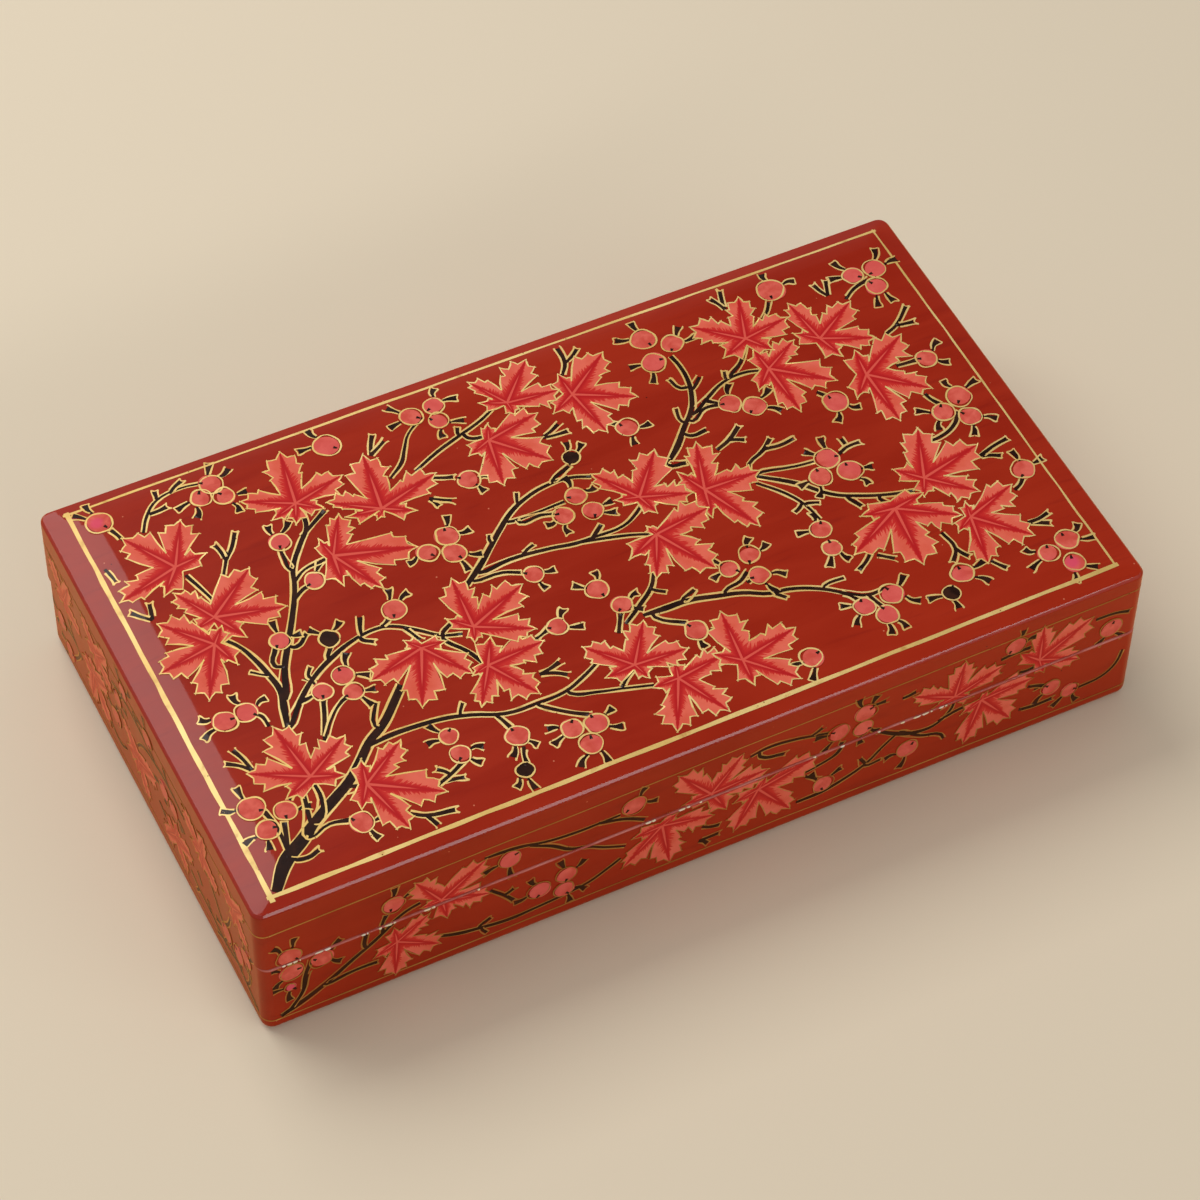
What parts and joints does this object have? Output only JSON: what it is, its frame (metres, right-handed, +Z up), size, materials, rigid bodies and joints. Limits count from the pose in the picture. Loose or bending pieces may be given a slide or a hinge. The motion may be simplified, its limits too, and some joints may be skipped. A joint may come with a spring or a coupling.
{
  "type": "lidded papier mache box",
  "caption": "Flat rectangular lidded box of painted, lacquered papier mache over thin boards, with a lift-off lid located by a raised liner.",
  "frame": {"origin": "centre of the underside", "axes": "+X along the box, +Y from the front to the back, +Z up through the lid"},
  "size_m": [0.2, 0.114, 0.04],
  "materials": {
    "red_lacquer": "gloss lacquer, painted with gold-edged leaves, berries and branches",
    "poplar_board": "sawn, glued, hidden",
    "black_liner": "black lacquer",
    "black_velvet": "velvet face glued on card"
  },
  "bodies": {
    "base": {"base_papier_mache_shell": "red_lacquer", "base_bottom_panel": "poplar_board", "base_front_board": "poplar_board", "base_back_board": "poplar_board", "base_left_board": "poplar_board", "base_right_board": "poplar_board", "liner_front_board": "black_liner", "liner_back_board": "black_liner", "liner_left_board": "black_liner", "liner_right_board": "black_liner", "base_floor_lining": "black_velvet"},
    "lid": {"lid_papier_mache_shell": "red_lacquer", "lid_top_panel": "poplar_board", "lid_front_board": "poplar_board", "lid_back_board": "poplar_board", "lid_left_board": "poplar_board", "lid_right_board": "poplar_board", "lid_ceiling_lining": "black_velvet"}
  },
  "joints": [
    {"name": "lid_lift", "type": "slide", "parent": "base", "child": "lid", "axis": [0, 0, 1], "range_m": [0, 0.08]}
  ]
}
